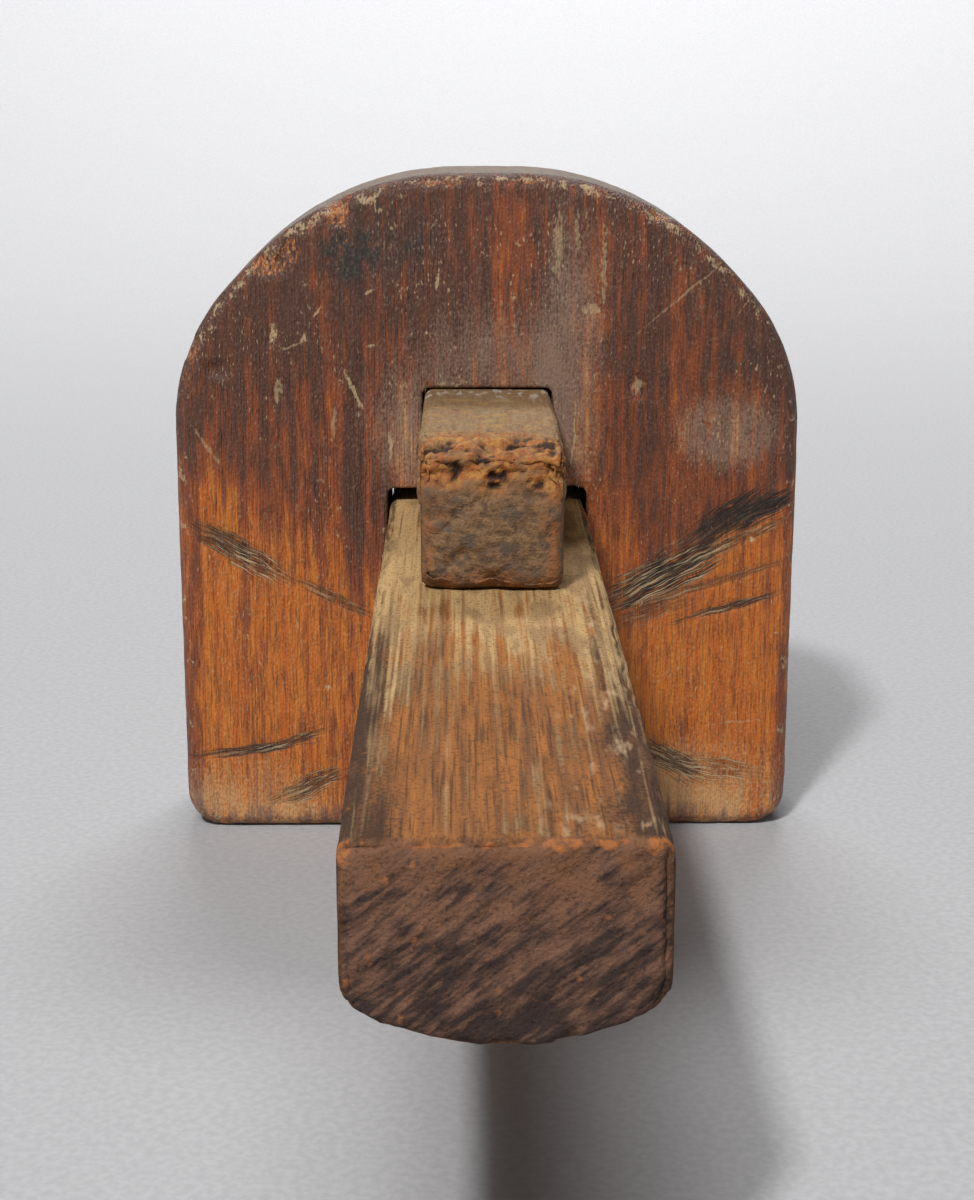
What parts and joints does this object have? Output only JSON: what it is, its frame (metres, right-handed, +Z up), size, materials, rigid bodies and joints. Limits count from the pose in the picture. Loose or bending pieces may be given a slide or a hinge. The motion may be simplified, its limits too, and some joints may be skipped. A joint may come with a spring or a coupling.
{
  "type": "marking gauge",
  "caption": "Wooden marking gauge: an arched fence slides along a beam, a long wedge over the beam locks it, and a wedged steel knife crosses the beam's far end.",
  "frame": {"origin": "middle of the fence's flat base, which the tool stands on", "axes": "+X across the fence, +Y along the beam towards the knife, +Z up from the base to the crown of the fence"},
  "size_m": [0.08, 0.242, 0.086],
  "materials": {
    "fence_wood": "worn, handled dark brown hardwood",
    "beam_wood": "worn, dusty brown hardwood",
    "wedge_wood": "bruised ochre-brown hardwood",
    "knife_steel": "darkened forged steel",
    "knife_wedge_wood": "plain brown hardwood"
  },
  "bodies": {
    "fence_body": {"fence": "fence_wood"},
    "beam_body": {"beam": "beam_wood"},
    "locking_wedge_body": {"locking_wedge": "wedge_wood"},
    "knife_body": {"marking_knife": "knife_steel"},
    "knife_wedge_body": {"knife_wedge": "knife_wedge_wood"}
  },
  "joints": [
    {"name": "beam_slide", "type": "slide", "parent": "fence_body", "child": "beam_body", "axis": [0, 1, 0], "range_m": [-0.076, 0.07]},
    {"name": "locking_wedge_slide", "type": "slide", "parent": "fence_body", "child": "locking_wedge_body", "axis": [0, -1, 0], "range_m": [0, 0.03]},
    {"name": "knife_depth", "type": "slide", "parent": "beam_body", "child": "knife_body", "axis": [0, 0, 1], "range_m": [-0.002, 0.003]},
    {"name": "knife_wedge_slide", "type": "slide", "parent": "beam_body", "child": "knife_wedge_body", "axis": [0, 0, 1], "range_m": [0, 0.006]}
  ]
}
